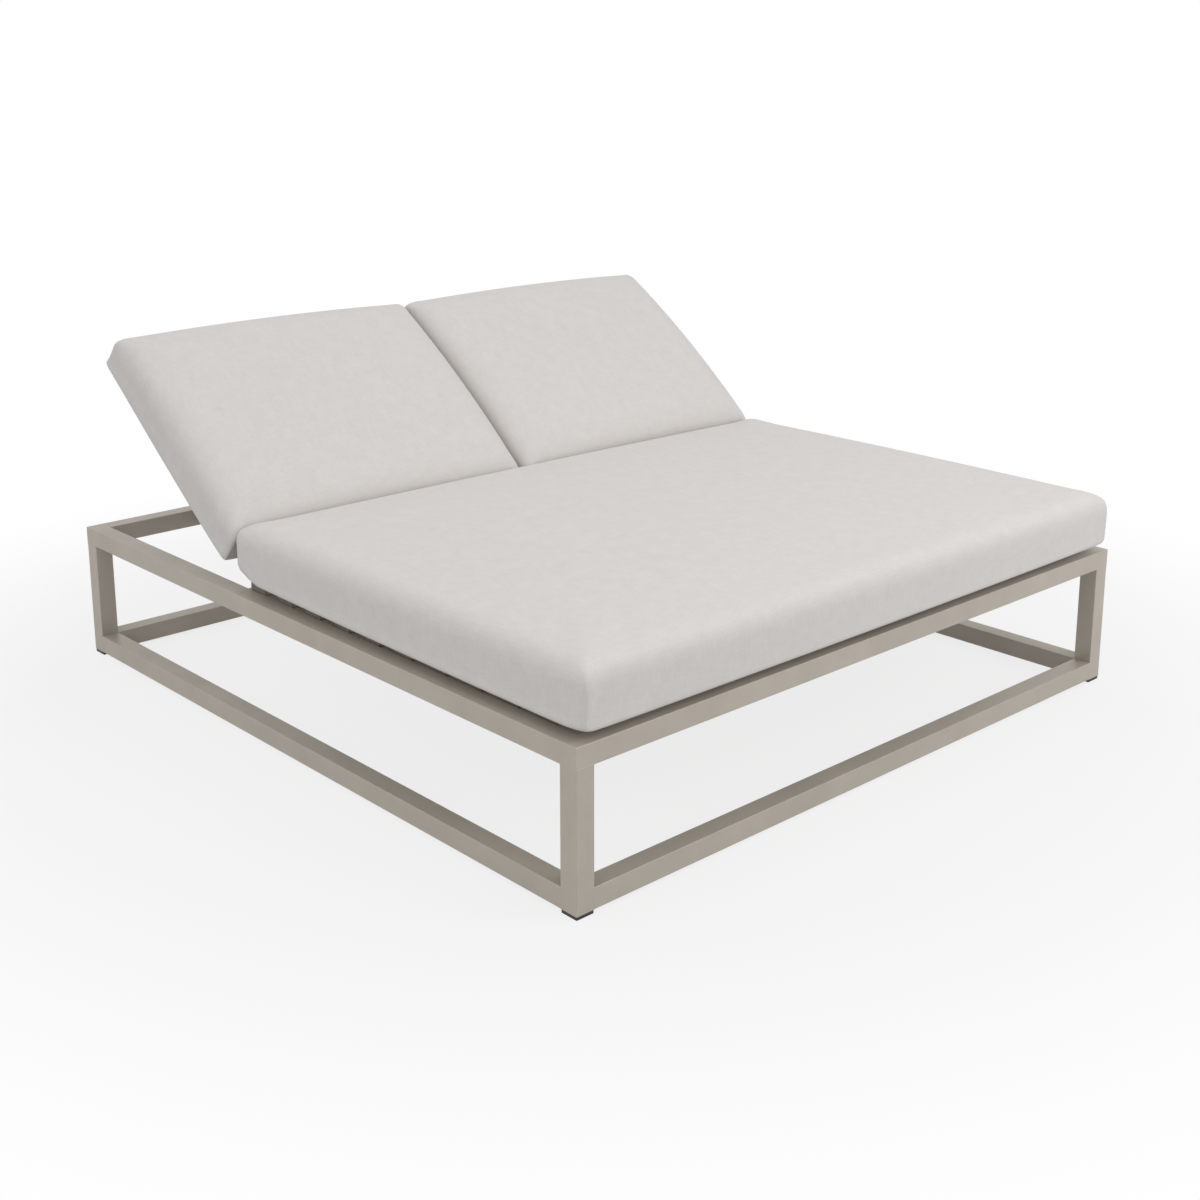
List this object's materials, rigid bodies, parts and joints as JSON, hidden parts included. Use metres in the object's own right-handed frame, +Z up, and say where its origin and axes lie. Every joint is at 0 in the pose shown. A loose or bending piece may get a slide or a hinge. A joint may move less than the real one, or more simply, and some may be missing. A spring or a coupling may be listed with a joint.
{
  "type": "double chaise lounger",
  "caption": "Wide patio lounger on a square-tube frame, with a thick full-width seat cushion and twin reclining backs held by notched props.",
  "frame": {"origin": "on the floor under the middle of the base frame, which is the bottom centre of the whole part but for half of what the seat cushion overhangs the foot end", "axes": "+Y from the foot end to the head end, +X across the width, +Z up; left is -X"},
  "size_m": [1.78, 1.9322, 0.8723],
  "materials": {
    "frame_paint": "satin",
    "cushion_fabric": "matte",
    "foot_plastic": "matte",
    "cap_plastic": "matte",
    "bush_nylon": "satin",
    "pad_rubber": "matte",
    "steel": "satin"
  },
  "bodies": {
    "base": {"back_rest_pads": "pad_rubber", "bottom_rail_foot": "frame_paint", "bottom_rail_head": "frame_paint", "bottom_rail_left": "frame_paint", "bottom_rail_right": "frame_paint", "centre_beam": "frame_paint", "foot_cap_foot_left": "foot_plastic", "foot_cap_foot_right": "foot_plastic", "foot_cap_head_left": "foot_plastic", "foot_cap_head_right": "foot_plastic", "hinge_beam": "frame_paint", "hinge_brackets": "frame_paint", "hinge_bushes": "bush_nylon", "ledge_left": "frame_paint", "ledge_right": "frame_paint", "post_foot_left": "frame_paint", "post_foot_right": "frame_paint", "post_head_left": "frame_paint", "post_head_right": "frame_paint", "rack_bar_left_inner": "frame_paint", "rack_bar_left_outer": "frame_paint", "rack_bar_right_inner": "frame_paint", "rack_bar_right_outer": "frame_paint", "seat_cushion": "cushion_fabric", "seat_slat_01": "frame_paint", "seat_slat_02": "frame_paint", "seat_slat_03": "frame_paint", "seat_slat_04": "frame_paint", "seat_slat_05": "frame_paint", "seat_slat_06": "frame_paint", "seat_slat_07": "frame_paint", "seat_slat_08": "frame_paint", "seat_slat_09": "frame_paint", "seat_slat_10": "frame_paint", "slat_end_caps": "cap_plastic", "slat_screws": "steel", "top_rail_foot": "frame_paint", "top_rail_head": "frame_paint", "top_rail_left": "frame_paint", "top_rail_right": "frame_paint"},
    "back_left": {"back_bottom_rail_left": "frame_paint", "back_cushion_left": "cushion_fabric", "back_slats_left": "frame_paint", "back_stile_left_inner": "frame_paint", "back_stile_left_outer": "frame_paint", "back_top_rail_left": "frame_paint", "hinge_pins_left": "steel", "prop_crossbar_left": "frame_paint", "prop_pins_left": "steel"},
    "back_right": {"back_bottom_rail_right": "frame_paint", "back_cushion_right": "cushion_fabric", "back_slats_right": "frame_paint", "back_stile_right_inner": "frame_paint", "back_stile_right_outer": "frame_paint", "back_top_rail_right": "frame_paint", "hinge_pins_right": "steel", "prop_crossbar_right": "frame_paint", "prop_pins_right": "steel"},
    "prop_left": {"prop_left": "frame_paint"},
    "prop_right": {"prop_right": "frame_paint"}
  },
  "joints": [
    {"name": "back_left_recline", "type": "hinge", "parent": "base", "child": "back_left", "pos_m": [-0.426, 0.245, 0.35], "axis": [1, 0, 0], "range_deg": [-37, 4]},
    {"name": "prop_left_swing", "type": "hinge", "parent": "back_left", "child": "prop_left", "pos_m": [-0.426, 0.49457, 0.53807], "axis": [1, 0, 0], "range_deg": [-8, 74]},
    {"name": "back_right_recline", "type": "hinge", "parent": "base", "child": "back_right", "pos_m": [0.426, 0.245, 0.35], "axis": [1, 0, 0], "range_deg": [-37, 4]},
    {"name": "prop_right_swing", "type": "hinge", "parent": "back_right", "child": "prop_right", "pos_m": [0.426, 0.49457, 0.53807], "axis": [1, 0, 0], "range_deg": [-8, 74]}
  ],
  "couplings": [
    {"joint": "prop_left_swing", "follows": "back_left_recline", "ratio": -2},
    {"joint": "prop_right_swing", "follows": "back_right_recline", "ratio": -2}
  ]
}
